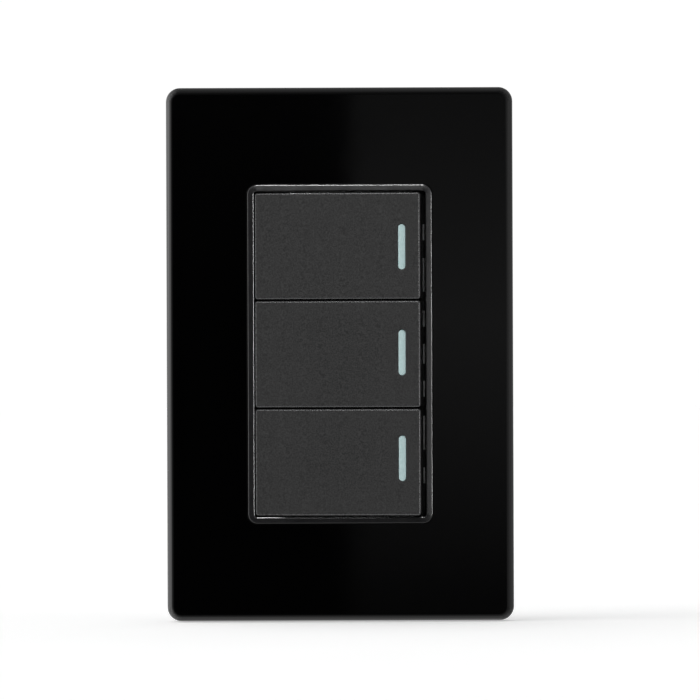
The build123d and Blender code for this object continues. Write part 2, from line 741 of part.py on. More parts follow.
# Terminal: a block with a wire bore and a screw thread, and a strip on top of it.
# side -1 is the fixed terminal, whose strip holds the fixed contact; side +1 is the common
# terminal, whose strip reaches the middle and stands up as the edge that the lever rocks on.
def build_terminal(module_z, side):
    inner_end = fixed_strip_end_x if side < 0 else -fulcrum_radius
    strip_middle = (inner_end + side * terminal_block_outer_x) / 2
    strip_run = abs(inner_end - side * terminal_block_outer_x)
    with BuildPart() as terminal:
        with BuildSketch(front_plane(module_floor_height, module_z)):
            with Locations((side * terminal_block_x, 0)):
                Rectangle(terminal_block_length, terminal_block_width)
        extrude(amount=terminal_block_top - module_floor_height)
        with BuildSketch(front_plane(terminal_block_top, module_z)):
            with Locations((strip_middle, 0)):
                Rectangle(strip_run, terminal_strip_width)
        extrude(amount=terminal_strip_thickness)
        if side > 0:
            edge_rise = lever_axis_height - terminal_block_top
            with BuildSketch(swung_section(lever_axis_height, 0, module_z)):
                Circle(fulcrum_radius)
                with Locations((0, edge_rise / 2)):
                    Rectangle(2 * fulcrum_radius, edge_rise)
            extrude(amount=terminal_strip_width / 2, both=True)
        else:
            with BuildSketch(front_plane(terminal_block_top, module_z)):
                with Locations((contact_x, 0)):
                    Circle(contact_shank_radius)
            extrude(amount=terminal_strip_thickness, mode=Mode.SUBTRACT)
        with BuildSketch(Plane.YZ.offset(side * terminal_block_inner_x)):
            with Locations((-wire_bore_height, module_z)):
                Circle(wire_bore_radius)
        extrude(amount=side * terminal_block_length, mode=Mode.SUBTRACT)
        with BuildSketch(front_plane(module_floor_height, module_z)):
            with Locations((side * terminal_block_x, 0)):
                Circle(screw_radius + screw_thread_gap)
        extrude(amount=wire_bore_height - module_floor_height, mode=Mode.SUBTRACT)
    return terminal


# Two slotted terminal screws, backed off so that the wire bores are open
def build_terminal_screws(module_z):
    head_base = module_floor_height - screw_back_off
    with BuildPart() as screws:
        with BuildSketch(front_plane(head_base, module_z)):
            with GridLocations(2 * terminal_block_x, 0, 2, 1):
                Circle(screw_radius)
        extrude(amount=screw_tip_height - head_base)
        with BuildSketch(front_plane(head_base, module_z)):
            with GridLocations(2 * terminal_block_x, 0, 2, 1):
                Circle(screw_head_radius)
        extrude(amount=-screw_head_thickness)
        head_rims = screws.faces().group_by(Axis.Y)[-1].edges()
        chamfer(head_rims, length=screw_slot_width / 2)
        with BuildSketch(front_plane(head_base - screw_head_thickness, module_z)):
            with GridLocations(2 * terminal_block_x, 0, 2, 1):
                Rectangle(3 * screw_head_radius, screw_slot_width)
        extrude(amount=screw_slot_depth, mode=Mode.SUBTRACT)
    return screws


for gang, (gang_name, gang_z) in enumerate(zip(gang_names, gang_offsets)):
    strip_offset = strip_rise + (1 - gang) * (strip_pitch - gang_pitch)
    save(build_collar(gang_z, tooth_rows[gang]), f"module_collar_{gang_name}")
    save(build_housing(gang_z), f"module_housing_{gang_name}")
    save(build_key(gang_z, strip_offset), f"rocker_key_{gang_name}")
    save(build_strip(gang_z, strip_offset), f"indicator_strip_{gang_name}")
    save(build_carrier(gang_z), f"rocker_carrier_{gang_name}")
    save(build_plunger(gang_z), f"plunger_{gang_name}")
    save(build_spring(gang_z), f"plunger_spring_{gang_name}")
    save(build_lever(gang_z), f"contact_lever_{gang_name}")
    save(build_moving_contact(gang_z), f"moving_contact_{gang_name}")
    save(build_fixed_contact(gang_z), f"fixed_contact_{gang_name}")
    save(build_terminal(gang_z, -1), f"fixed_terminal_{gang_name}")
    save(build_terminal(gang_z, 1), f"common_terminal_{gang_name}")
    save(build_terminal_screws(gang_z), f"terminal_screws_{gang_name}")
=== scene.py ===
# %% [markdown]
# # A wall plate with three rocker keys
#
# The object is a flush wall switch: a glossy black cover plate, a slim trim ring round its
# window, and three wide satin keys stacked in that window. Behind the plate sit a support
# frame, two box screws and three switch modules. The engineering model is loaded first and
# stays fixed. Every piece made here lies exactly where its engineering twin lies.

# %% Load the engineering model
import math

import bpy
import bmesh
from mathutils import Matrix, Vector


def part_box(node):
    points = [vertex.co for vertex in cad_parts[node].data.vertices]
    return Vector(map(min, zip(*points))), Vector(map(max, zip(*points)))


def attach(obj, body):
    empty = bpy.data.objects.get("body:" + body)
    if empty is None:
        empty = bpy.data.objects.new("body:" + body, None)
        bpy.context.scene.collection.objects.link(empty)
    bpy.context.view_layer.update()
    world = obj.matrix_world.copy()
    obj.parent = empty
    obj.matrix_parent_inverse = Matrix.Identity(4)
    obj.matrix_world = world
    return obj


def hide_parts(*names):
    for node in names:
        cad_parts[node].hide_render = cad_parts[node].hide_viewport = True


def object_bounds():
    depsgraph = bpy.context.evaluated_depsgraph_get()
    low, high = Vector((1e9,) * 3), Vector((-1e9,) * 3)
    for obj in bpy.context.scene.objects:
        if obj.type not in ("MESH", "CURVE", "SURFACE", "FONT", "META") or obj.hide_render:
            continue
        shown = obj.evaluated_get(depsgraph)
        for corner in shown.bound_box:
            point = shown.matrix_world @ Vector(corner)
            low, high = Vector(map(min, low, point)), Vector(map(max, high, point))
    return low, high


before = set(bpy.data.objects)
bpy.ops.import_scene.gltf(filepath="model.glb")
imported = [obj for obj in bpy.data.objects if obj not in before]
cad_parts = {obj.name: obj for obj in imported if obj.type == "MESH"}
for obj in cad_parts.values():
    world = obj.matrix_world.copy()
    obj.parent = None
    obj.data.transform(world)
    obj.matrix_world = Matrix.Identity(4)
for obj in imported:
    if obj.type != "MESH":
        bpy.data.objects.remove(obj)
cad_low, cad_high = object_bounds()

MM = 0.001
print("engineering box in mm:", [round(v / MM, 2) for v in (cad_high - cad_low)])

# %% [markdown]
# ## Where the main faces are
#
# The wall is the plane y = 0 and the switch faces -Y, so a "height" is a distance in front
# of the wall. The overall sizes are read from the engineering pieces, which keeps both
# models in step. Sizes inside a piece, and those of the tilted keys and their strips, can't
# be read from a box, so the cells below name them once, with the small roundings.

# %% Sizes read from the engineering model
GANGS = ("top", "middle", "bottom")


def size_of(node):
    """Width, depth and height of an engineering piece, in mm."""
    low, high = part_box(node)
    return (high - low) / MM


plate_size = size_of("cover_plate")
plate_front = -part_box("cover_plate")[0].y / MM
trim_front = -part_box("window_trim")[0].y / MM
trim_back = -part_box("window_trim")[1].y / MM
gang_z = {g: sum(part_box(f"module_housing_{g}")[i].z for i in (0, 1)) / 2 / MM for g in GANGS}
print("plate", [round(v, 2) for v in plate_size], "front", round(plate_front, 2))
print("trim front and foot", round(trim_front, 2), round(trim_back, 2))
print("key rows at z", {g: round(z, 2) for g, z in gang_z.items()})

# %% [markdown]
# ## Shapes from stacked outlines
#
# A moulded cover is an outline that shrinks and rises a little at every step round its
# edges. So each shape here is a list of outlines, all with the same number of points, and
# neighbours are joined with four-sided faces. A box with a Bevel modifier would be quicker,
# but the outlines put a thin band of faces beside every rounded edge, and that band keeps
# the big flat faces optically flat, which a mirror-gloss surface shows at once.

# %% Outlines
CORNER_STEPS = 10


def rounded_outline(width, height, radius, side_steps=6):
    """Points (x, z) round a rounded rectangle, anticlockwise, same count for any size."""
    radius = max(radius, 0.01)
    centres = [(1, 1, 0), (-1, 1, 90), (-1, -1, 180), (1, -1, 270)]
    corners = []
    for sx, sz, start in centres:
        cx, cz = sx * (width / 2 - radius), sz * (height / 2 - radius)
        arc = []
        for step in range(CORNER_STEPS + 1):
            angle = math.radians(start + 90 * step / CORNER_STEPS)
            arc.append((cx + radius * math.cos(angle), cz + radius * math.sin(angle)))
        corners.append(arc)
    points = []
    for k, arc in enumerate(corners):
        points += arc
        (x0, z0), (x1, z1) = arc[-1], corners[(k + 1) % 4][0]
        for step in range(1, side_steps):
            t = step / side_steps
            points.append((x0 + (x1 - x0) * t, z0 + (z1 - z0) * t))
    return points


def arc_steps(start, end, steps):
    """Angles in radians from start to end degrees, both included."""
    return [math.radians(start + (end - start) * i / steps) for i in range(steps + 1)]


def stacked(loops, closed=True):
    """Joins outlines of 3D points into (points, faces); closed joins the last to the first."""
    count = len(loops[0])
    points = [p for loop in loops for p in loop]
    faces = []
    for row in range(len(loops) if closed else len(loops) - 1):
        here, there = row * count, (row + 1) % len(loops) * count
        for i in range(count):
            j = (i + 1) % count
            faces.append((here + i, here + j, there + j, there + i))
    if not closed:
        faces.append(tuple(range(count)))
        faces.append(tuple(range(len(points) - count, len(points))))
    return points, faces


def flat_loop(outline, height):
    """An outline laid parallel to the wall at a height."""
    return [(x, -height, z) for x, z in outline]


print("points in a plate outline:", len(rounded_outline(78, 120, 3.2)))

# %% [markdown]
# Ribs, pegs and bosses are small blocks with softened edges. A cube primitive alone would
# have razor edges that no moulding has, so each block gets its edges bevelled in bmesh
# before its points are taken over.

# %% Blocks and turned shapes
def block(low, high, soften=0.12):
    """A box between two corners (mm) with softened edges, as (points, faces)."""
    bm = bmesh.new()
    bmesh.ops.create_cube(bm, size=1.0)
    centre = [(a + b) / 2 for a, b in zip(low, high)]
    span = [b - a for a, b in zip(low, high)]
    for v in bm.verts:
        v.co = Vector([c + s * q for c, s, q in zip(centre, span, v.co)])
    bmesh.ops.bevel(bm, geom=bm.edges[:], offset=soften, segments=2, affect="EDGES", profile=0.5)
    points = [tuple(v.co) for v in bm.verts]
    faces = [tuple(v.index for v in f.verts) for f in bm.faces]
    bm.free()
    return points, faces


def turned(profile, x, z, steps=40):
    """A shape turned about an axis along Y at (x, z): profile is a list of (radius, height)."""
    loops = []
    for radius, height in profile:
        ring = []
        for k in range(steps):
            angle = 2 * math.pi * k / steps
            ring.append((x + radius * math.cos(angle), -height, z + radius * math.sin(angle)))
        loops.append(ring)
    return stacked(loops, closed=False)


def make_mesh(name, shapes, place=None):
    """One mesh object in metres from several (points, faces) shapes given in mm."""
    points, faces = [], []
    for shape_points, shape_faces in shapes:
        start = len(points)
        points += shape_points
        faces += [tuple(start + i for i in face) for face in shape_faces]
    mesh = bpy.data.meshes.new(name)
    mesh.from_pydata([Vector(p) * MM for p in points], [], faces)
    if place:
        mesh.transform(place)
    bm = bmesh.new()
    bm.from_mesh(mesh)
    bmesh.ops.recalc_face_normals(bm, faces=bm.faces[:])
    bm.to_mesh(mesh)
    bm.free()
    piece = bpy.data.objects.new(name, mesh)
    bpy.context.scene.collection.objects.link(piece)
    return piece


def keep_flats_flat(piece, angle=40):
    """Smooth shading that leaves big faces flat: sharp edges are kept, big faces weigh most."""
    for polygon in piece.data.polygons:
        polygon.use_smooth = True
    mesh = piece.data
    bm = bmesh.new()
    bm.from_mesh(mesh)
    limit = math.radians(angle)
    for edge in bm.edges:
        if len(edge.link_faces) == 2 and edge.calc_face_angle(0) > limit:
            edge.smooth = False
    bm.to_mesh(mesh)
    bm.free()
    weigh = piece.modifiers.new("flat faces stay flat", "WEIGHTED_NORMAL")
    weigh.keep_sharp = True
    weigh.weight = 80


print("helpers ready: stacked outlines, soft blocks, turned shapes")

# %% [markdown]
# ## Finishes
#
# Everything is moulded plastic or small metal parts, so every finish starts from the
# Principled shader. What the eye reads as "real" is the break-up: a fine grain on satin
# plastic, a very faint waviness in gloss, brushing on metal. Each is procedural noise in
# object space, so it sits still on the piece and needs no pictures.

# %% Material helpers
def shader_of(material):
    return material.node_tree.nodes["Principled BSDF"]


def new_finish(name, colour, roughness, metallic=0.0, ior=1.5, specular=0.5):
    """A Principled material whose plain values sit on the shader's own sockets."""
    material = bpy.data.materials.new(name)
    material.use_nodes = True
    shader = shader_of(material)
    shader.inputs["Base Color"].default_value = (*colour, 1)
    shader.inputs["Roughness"].default_value = roughness
    shader.inputs["Metallic"].default_value = metallic
    shader.inputs["IOR"].default_value = ior
    shader.inputs["Specular IOR Level"].default_value = specular
    return material


def noise_field(material, cell_mm, detail=3.0, stretch=(1, 1, 1)):
    """Noise in object space whose cells are about cell_mm across."""
    nodes, links = material.node_tree.nodes, material.node_tree.links
    place = nodes.new("ShaderNodeTexCoord")
    mapping = nodes.new("ShaderNodeMapping")
    mapping.inputs["Scale"].default_value = stretch
    noise = nodes.new("ShaderNodeTexNoise")
    noise.inputs["Scale"].default_value = 1 / (cell_mm * MM)
    noise.inputs["Detail"].default_value = detail
    links.new(place.outputs["Object"], mapping.inputs["Vector"])
    links.new(mapping.outputs["Vector"], noise.inputs["Vector"])
    return noise.outputs["Fac"]


def add_grain(material, cell_mm, depth_mm, strength=1.0, detail=3.0, stretch=(1, 1, 1)):
    """Raises and lowers the surface by about depth_mm; several grains stack up."""
    nodes, links = material.node_tree.nodes, material.node_tree.links
    shader = shader_of(material)
    bump = nodes.new("ShaderNodeBump")
    bump.inputs["Strength"].default_value = strength
    bump.inputs["Distance"].default_value = depth_mm * MM
    links.new(noise_field(material, cell_mm, detail, stretch), bump.inputs["Height"])
    before = shader.inputs["Normal"]
    if before.is_linked:
        links.new(before.links[0].from_socket, bump.inputs["Normal"])
    links.new(bump.outputs["Normal"], shader.inputs["Normal"])


def vary_roughness(material, cell_mm, low, high, stretch=(1, 1, 1)):
    """Lets the gloss wander between two roughness values."""
    nodes, links = material.node_tree.nodes, material.node_tree.links
    span = nodes.new("ShaderNodeMapRange")
    span.inputs["From Min"].default_value = 0.3
    span.inputs["From Max"].default_value = 0.7
    span.inputs["To Min"].default_value = low
    span.inputs["To Max"].default_value = high
    links.new(noise_field(material, cell_mm, 4.0, stretch), span.inputs["Value"])
    links.new(span.outputs["Result"], shader_of(material).inputs["Roughness"])


def vary_colour(material, cell_mm, dark, light, stretch=(1, 1, 1)):
    """Lets the colour wander between two close tones."""
    nodes, links = material.node_tree.nodes, material.node_tree.links
    ramp = nodes.new("ShaderNodeValToRGB")
    ramp.color_ramp.elements[0].position = 0.35
    ramp.color_ramp.elements[0].color = (*dark, 1)
    ramp.color_ramp.elements[1].position = 0.65
    ramp.color_ramp.elements[1].color = (*light, 1)
    links.new(noise_field(material, cell_mm, 4.0, stretch), ramp.inputs["Fac"])
    links.new(ramp.outputs["Color"], shader_of(material).inputs["Base Color"])


print("material helpers ready")

# %% [markdown]
# The cover plate is polished acrylic-like plastic: nearly black, almost mirror smooth. The
# only surface trouble is a waviness of a few thousandths of a millimetre over a
# centimetre or two, from cooling in the mould. The trim ring is the same plastic one shade
# lighter and clearly less polished, so its edges catch the light.

# %% Gloss finishes
plate_gloss = new_finish("plate_gloss", (0.0005, 0.0005, 0.0006), 0.035)
vary_roughness(plate_gloss, 9.0, 0.025, 0.05)
add_grain(plate_gloss, 14.0, 0.004, strength=0.35, detail=1.0)

trim_gloss = new_finish("trim_gloss", (0.005, 0.005, 0.0055), 0.22, ior=1.6)
vary_roughness(trim_gloss, 2.0, 0.19, 0.25)
add_grain(trim_gloss, 0.25, 0.0015, strength=0.4)
print("gloss finishes:", plate_gloss.name, trim_gloss.name)

# %% [markdown]
# The keys are satin graphite. Real ones are spark-eroded in the mould, which leaves a grain
# of about a fifth of a millimetre. Two sizes of noise in the bump give that grain, and a
# slight speckle in the colour keeps the broad faces from looking painted. The rounded edges
# get a smoother, glossier version of the same finish in a lighter colour, and that lighter
# colour is a painted highlight along the edges.

# %% Satin and moulded finishes
key_satin = new_finish("key_satin", (0.021, 0.021, 0.021), 0.42)
vary_colour(key_satin, 0.3, (0.010, 0.010, 0.010), (0.030, 0.030, 0.0302))
vary_roughness(key_satin, 0.6, 0.38, 0.48)
add_grain(key_satin, 0.22, 0.006, strength=0.5, detail=4.0)
add_grain(key_satin, 1.4, 0.01, strength=0.2, detail=2.0)

# The lighter colour here is a painted highlight on the key edges; the lower roughness and higher specular
# are real gloss.
key_edge_highlight = new_finish("key_edge_highlight", (0.03, 0.03, 0.031), 0.27, specular=1.0)
vary_colour(key_edge_highlight, 0.3, (0.022, 0.022, 0.023), (0.038, 0.038, 0.039))
vary_roughness(key_edge_highlight, 0.6, 0.22, 0.32)
add_grain(key_edge_highlight, 0.22, 0.003, strength=0.08, detail=4.0)

frame_plastic = new_finish("frame_plastic", (0.02, 0.02, 0.021), 0.5)
vary_colour(frame_plastic, 0.5, (0.017, 0.017, 0.018), (0.024, 0.024, 0.025))
vary_roughness(frame_plastic, 1.0, 0.45, 0.56)
add_grain(frame_plastic, 0.35, 0.012, strength=0.6)

collar_plastic = new_finish("collar_plastic", (0.03, 0.03, 0.032), 0.4)
vary_colour(collar_plastic, 0.5, (0.027, 0.027, 0.029), (0.034, 0.034, 0.036))
vary_roughness(collar_plastic, 1.0, 0.36, 0.46)
add_grain(collar_plastic, 0.3, 0.008, strength=0.5)

housing_plastic = new_finish("housing_plastic", (0.30, 0.31, 0.32), 0.45)
vary_colour(housing_plastic, 0.5, (0.285, 0.295, 0.305), (0.315, 0.325, 0.335))
vary_roughness(housing_plastic, 1.0, 0.4, 0.5)
add_grain(housing_plastic, 0.3, 0.012, strength=0.6)

# A pale colour on the front faces of the collar's teeth: a painted highlight where light catches them.
collar_tooth_highlight = new_finish("collar_tooth_highlight", (0.7, 0.7, 0.71), 0.4)
vary_colour(collar_tooth_highlight, 0.6, (0.66, 0.66, 0.67), (0.78, 0.78, 0.79))
add_grain(collar_tooth_highlight, 0.2, 0.004, strength=0.4)

carrier_nylon = new_finish("carrier_nylon", (0.66, 0.63, 0.55), 0.38)
vary_colour(carrier_nylon, 1.5, (0.63, 0.60, 0.53), (0.68, 0.65, 0.58))
vary_roughness(carrier_nylon, 1.2, 0.32, 0.48)
add_grain(carrier_nylon, 0.4, 0.006, strength=0.4)
print("moulded finishes ready")

# %% [markdown]
# The indicator strips are pale, slightly milky plastic. Milkiness is light that enters and
# comes out again close by, so the shader gets a little subsurface scattering with a short
# reach. A glow would be wrong here: the strips are lit, not lighting.

# %% Indicator plastic
strip_pale = new_finish("strip_pale", (0.37, 0.49, 0.49), 0.3)
strip_shader = shader_of(strip_pale)
strip_shader.inputs["Subsurface Weight"].default_value = 0.25
strip_shader.inputs["Subsurface Radius"].default_value = (0.0004, 0.0005, 0.0005)
strip_shader.inputs["Subsurface Scale"].default_value = 1.0
vary_colour(strip_pale, 0.8, (0.48, 0.64, 0.64), (0.54, 0.70, 0.70))
add_grain(strip_pale, 0.3, 0.003, strength=0.3)
print("indicator plastic ready")

# %% [markdown]
# Metals: zinc-plated screws, yellow-passivated terminal screws, drawn spring wire, stamped
# brass and silver contacts. Brushing and drawing leave fine lines in one direction, which
# is plain noise stretched along that direction.

# %% Metal finishes
def metal(name, colour, low, high, line_mm=0.12, stretch=(1, 1, 1)):
    made = new_finish(name, colour, (low + high) / 2, metallic=1.0)
    dark = tuple(c * 0.88 for c in colour)
    vary_colour(made, 1.6, dark, colour)
    vary_roughness(made, 0.7, low, high, stretch)
    add_grain(made, line_mm, 0.004, strength=0.35, stretch=stretch)
    return made


screw_steel = metal("screw_steel", (0.60, 0.60, 0.58), 0.26, 0.42, stretch=(1, 0.2, 1))
terminal_screw_steel = metal("terminal_screw_steel", (0.68, 0.60, 0.42), 0.24, 0.4)
spring_steel = metal("spring_steel", (0.55, 0.55, 0.56), 0.22, 0.34)
lever_brass = metal("lever_brass", (0.78, 0.53, 0.26), 0.25, 0.4, stretch=(0.15, 1, 1))
terminal_brass = metal("terminal_brass", (0.80, 0.60, 0.30), 0.28, 0.45, stretch=(0.2, 1, 1))
contact_silver = metal("contact_silver", (0.88, 0.87, 0.85), 0.18, 0.3)
print("metal finishes ready")

# %% [markdown]
# ## Cover plate
#
# The plate is a deep tray with a window. On the real one the front edge is a full rounding
# of 1.6 mm that runs into the flat sides, and the face is dead flat. Its stack of outlines
# starts at the rim on the wall, goes up the outside, over the rounding, across the face to
# the window, through the window and back down the inside.

# %% Cover plate shell
plate_w, plate_h = plate_size.x, plate_size.z
PLATE_CORNER = 3.2
EDGE_ROUND = 1.6
FACE_THICK = 2.0
SIDE_WALL = 1.8
TRIM_CORNER = 2.1
FLANGE = 3.3
trim_w, trim_h = size_of("window_trim").x - 2 * FLANGE, size_of("window_trim").z - 2 * FLANGE


def plate_loop(inset, height):
    corner = max(PLATE_CORNER - inset, 0.4)
    return flat_loop(rounded_outline(plate_w - 2 * inset, plate_h - 2 * inset, corner), height)


def window_loop(outset, height):
    return flat_loop(
        rounded_outline(trim_w + 2 * outset, trim_h + 2 * outset, TRIM_CORNER + outset), height)


inner_face = plate_front - FACE_THICK
plate_loops = [plate_loop(SIDE_WALL, 0.1), plate_loop(SIDE_WALL - 0.1, 0), plate_loop(0.2, 0)]
plate_loops += [plate_loop(0.05, 0.06), plate_loop(0, 0.25), plate_loop(0, plate_front - EDGE_ROUND)]
for angle in arc_steps(0, 90, 12)[1:]:
    plate_loops.append(plate_loop(
        EDGE_ROUND * (1 - math.cos(angle)), plate_front - EDGE_ROUND * (1 - math.sin(angle))))
plate_loops.append(plate_loop(EDGE_ROUND + 0.1, plate_front))
plate_loops += [window_loop(0.3, plate_front), window_loop(0.22, plate_front)]
plate_loops += [window_loop(0.1, plate_front - 0.04), window_loop(0.06, plate_front - 0.16)]
plate_loops += [window_loop(0.06, inner_face), window_loop(0.2, inner_face)]
plate_loops += [plate_loop(SIDE_WALL + 0.5, inner_face), plate_loop(SIDE_WALL + 0.15, inner_face - 0.15)]
plate_loops += [plate_loop(SIDE_WALL, inner_face - 0.5)]
print("plate outlines:", len(plate_loops))

# %% [markdown]
# The inside of the plate carries what the room never sees: stiffening ribs, six snap pegs
# with a barb that hold it to the frame, and six melted stake heads that hold the ring.

# %% Ribs, pegs and stake heads behind the plate
RIB_HALF, RIB_TALL, RIB_INSET = 0.5, 1.6, 2.2
SNAP_INSET, SNAP_PITCH, SNAP_HALF_THICK, SNAP_HALF_WIDE = 4.0, 42.0, 0.8, 2.5
SNAP_TIP, BARB_TOP, BARB_REACH = 0.4, 1.1, 1.4
STAKE_PITCH = 28.0
STAKE_HEAD = ((0.2, 1.75), (0.9, 1.6), (1.15, 1.3), (1.15, 1.02))
OVERLAP = 0.1

root = -inner_face - OVERLAP
inner_x, inner_z = plate_w / 2 - SIDE_WALL, plate_h / 2 - SIDE_WALL
snap_x = size_of("support_frame").x / 2 - SNAP_INSET
plate_shapes = [stacked(plate_loops)]


def add_block(low, high):
    plate_shapes.append(block(low, high))


for side in (-1, 1):
    rib_z = side * (trim_h / 2 + FLANGE + inner_z) / 2
    rib_x = side * (inner_x - RIB_INSET)
    rib_foot = -inner_face + RIB_TALL
    add_block((-inner_x - OVERLAP, root, rib_z - RIB_HALF), (inner_x + OVERLAP, rib_foot, rib_z + RIB_HALF))
    add_block((rib_x - RIB_HALF, root, -inner_z - OVERLAP), (rib_x + RIB_HALF, rib_foot, inner_z + OVERLAP))
    for row in (-1, 0, 1):
        peg_x, peg_z = side * snap_x, row * SNAP_PITCH
        low_z, high_z = peg_z - SNAP_HALF_WIDE, peg_z + SNAP_HALF_WIDE
        add_block((peg_x - SNAP_HALF_THICK, root, low_z), (peg_x + SNAP_HALF_THICK, -SNAP_TIP, high_z))
        near, far = sorted((peg_x + side * (SNAP_HALF_THICK - OVERLAP), peg_x + side * BARB_REACH))
        add_block((near, -BARB_TOP, low_z), (far, -SNAP_TIP, high_z))
        head = [(radius, inner_face - drop) for radius, drop in STAKE_HEAD]
        plate_shapes.append(turned(head, side * (trim_w + FLANGE) / 2, row * STAKE_PITCH))

cover = make_mesh("cover_plate_shell", plate_shapes)
keep_flats_flat(cover)
cover.data.materials.append(plate_gloss)
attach(cover, "base")
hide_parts("cover_plate")
print("cover plate faces:", len(cover.data.polygons))

# %% [markdown]
# ## Trim ring
#
# The ring is a separate moulding: a narrow frame that stands 0.8 mm proud of the plate, a
# short tube down to the modules, and a flange staked behind the plate. Its front band falls
# away outward by less than a tenth of a millimetre, so each side mirrors its own part of
# the room. Both front edges are rounded by about a quarter of a millimetre.

# %% Trim ring
BAND = 1.4
OUTER_ROUND, INNER_ROUND, LEAN = 0.2, 0.25, 0.07


def ring_loop(inset, height):
    corner = max(TRIM_CORNER - inset, 0.35)
    return flat_loop(rounded_outline(trim_w - 2 * inset, trim_h - 2 * inset, corner), height)


FLANGE_THICK = 1.0
flange_foot = inner_face - FLANGE_THICK
ring_loops = [ring_loop(BAND, trim_back + 0.2), ring_loop(BAND - 0.1, trim_back), ring_loop(0.1, trim_back)]
ring_loops += [ring_loop(0, trim_back + 0.1), ring_loop(0, flange_foot)]
ring_loops += [ring_loop(0.1 - FLANGE, flange_foot), ring_loop(-FLANGE, flange_foot + 0.1)]
ring_loops += [ring_loop(-FLANGE, inner_face - 0.1)]
ring_loops += [ring_loop(0.1 - FLANGE, inner_face), ring_loop(0, inner_face)]
outer_top = trim_front - LEAN
ring_loops += [ring_loop(0, outer_top - OUTER_ROUND)]
for angle in arc_steps(0, 90, 7)[1:]:
    ring_loops.append(ring_loop(
        OUTER_ROUND * (1 - math.cos(angle)), outer_top - OUTER_ROUND * (1 - math.sin(angle))))
for angle in arc_steps(90, 0, 7):
    ring_loops.append(ring_loop(
        BAND - INNER_ROUND * (1 - math.cos(angle)), trim_front - INNER_ROUND * (1 - math.sin(angle))))
ring = make_mesh("window_trim_ring", [stacked(ring_loops)])
keep_flats_flat(ring)
ring.data.materials.append(trim_gloss)
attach(ring, "base")
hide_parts("window_trim")
print("trim ring faces:", len(ring.data.polygons))

# %% [markdown]
# ## Rocker keys
#
# Each key is a shallow cap with a slot for its indicator strip. The slot makes the face a
# plate with a hole, so the stack of outlines starts as the slot and grows into the key's
# rectangle. Every point of the big outline is paired with the nearest point of the slot,
# which keeps the faces between them from crossing. The caps are built level and then turned
# by the tilt that the engineering model rests in: right side out, left side in.

# %% Key outlines
KEY_W, KEY_H, KEY_CORNER = 37.2, size_of("rocker_key_top").z, 0.6
KEY_FRONT, KEY_ROUND, KEY_THICK, SKIRT = 10.3, 0.35, 2.0, 1.2
SKIRT_DEEP, SKIRT_SHORT = 5.0, 4.4
PIVOT, TILT = 2.8, -4.0
STRIP_L, STRIP_W, STRIP_GAP = 10.2, 1.65, 0.1
STRIP_X = KEY_W / 2 - 4.1
STRIP_MIDDLE, STRIP_DRIFT = 0.3, 0.55
STRIP_LIFT = {g: STRIP_MIDDLE + STRIP_DRIFT * (row - 1) for row, g in enumerate(GANGS)}


def key_outline(inset):
    corner = max(KEY_CORNER - inset, 0.08)
    return rounded_outline(KEY_W - 2 * inset, KEY_H - 2 * inset, corner, side_steps=40)


def slot_outline(radius, lift):
    """A slot with round ends, one point for every point of the key's outline."""
    half = STRIP_L / 2 - STRIP_W / 2
    points = []
    for x, z in key_outline(0):
        middle_z = lift + min(max(z - lift, -half), half)
        reach = Vector((x - STRIP_X, z - middle_z)).normalized() * radius
        points.append((STRIP_X + reach.x, middle_z + reach.y))
    return points


def skirt_foot(x):
    """Height of the skirt's lower edge: the two long sides stop short of the ends."""
    return KEY_FRONT - (SKIRT_DEEP if abs(x) > KEY_W / 2 - 2 * SKIRT else SKIRT_SHORT)


def key_swing(gang):
    """Turns a level shape by the rest tilt about its own upright hinge line."""
    hinge = Vector((0, -PIVOT, 0)) * MM
    lift = Matrix.Translation(Vector((0, 0, gang_z[gang])) * MM)
    turn = Matrix.Rotation(math.radians(TILT), 4, "Z")
    return lift @ (Matrix.Translation(hinge) @ turn @ Matrix.Translation(-hinge))


print("slot centre at", STRIP_X, "mm from the key's middle")

# %% Rocker keys
ROUND_STEPS = 8
REST_RIB = (12.0, 5.2, 0.6)
CLIP_POST = ((0.8, 5.1), (1.0, 5.3), (1.0, 8.4))
POST_X, POST_Z = 10.0, 7.6
under_face = KEY_FRONT - KEY_THICK


def key_shape(lift):
    slot_r = STRIP_W / 2 + STRIP_GAP
    loops = [flat_loop(slot_outline(slot_r, lift), under_face)]
    loops += [flat_loop(slot_outline(slot_r, lift), KEY_FRONT - 0.12)]
    loops += [flat_loop(slot_outline(slot_r + 0.04, lift), KEY_FRONT - 0.03)]
    loops += [flat_loop(slot_outline(slot_r + 0.12, lift), KEY_FRONT)]
    loops += [flat_loop(slot_outline(slot_r + 0.2, lift), KEY_FRONT)]
    loops += [flat_loop(key_outline(KEY_ROUND + 0.08), KEY_FRONT)]
    for angle in arc_steps(90, 0, ROUND_STEPS):
        loops.append(flat_loop(key_outline(KEY_ROUND * (1 - math.cos(angle))),
                               KEY_FRONT - KEY_ROUND * (1 - math.sin(angle))))
    for inset, rise in ((0, 0.12), (0.1, 0), (SKIRT - 0.1, 0), (SKIRT, 0.12)):
        loops.append([(x, -skirt_foot(x) - rise, z) for x, z in key_outline(inset)])
    loops += [flat_loop(key_outline(SKIRT), under_face), flat_loop(key_outline(SKIRT + 0.1), under_face)]
    loops += [flat_loop(slot_outline(slot_r + 0.1, lift), under_face)]
    return stacked(loops)


def key_inside():
    """Ribs that rest on the carrier and four clip posts, all under the face."""
    shapes = []
    half_length, rib_z, half_thick = REST_RIB
    for side in (-1, 1):
        low, high = side * rib_z - half_thick, side * rib_z + half_thick
        shapes.append(block((-half_length, -8.4, low), (half_length, -7.2, high)))
        for end in (-1, 1):
            shapes.append(turned(CLIP_POST, end * POST_X, side * POST_Z, 24))
    return shapes


def paint_key_edge_highlight(key, loops_before):
    """Gives the rounding, which follows so many outlines of the stack, the smoother finish whose lighter
    colour is a painted highlight.
    """
    per_loop = len(key_outline(0))
    start = loops_before * per_loop
    for polygon in key.data.polygons[start:start + ROUND_STEPS * per_loop]:
        polygon.material_index = 1


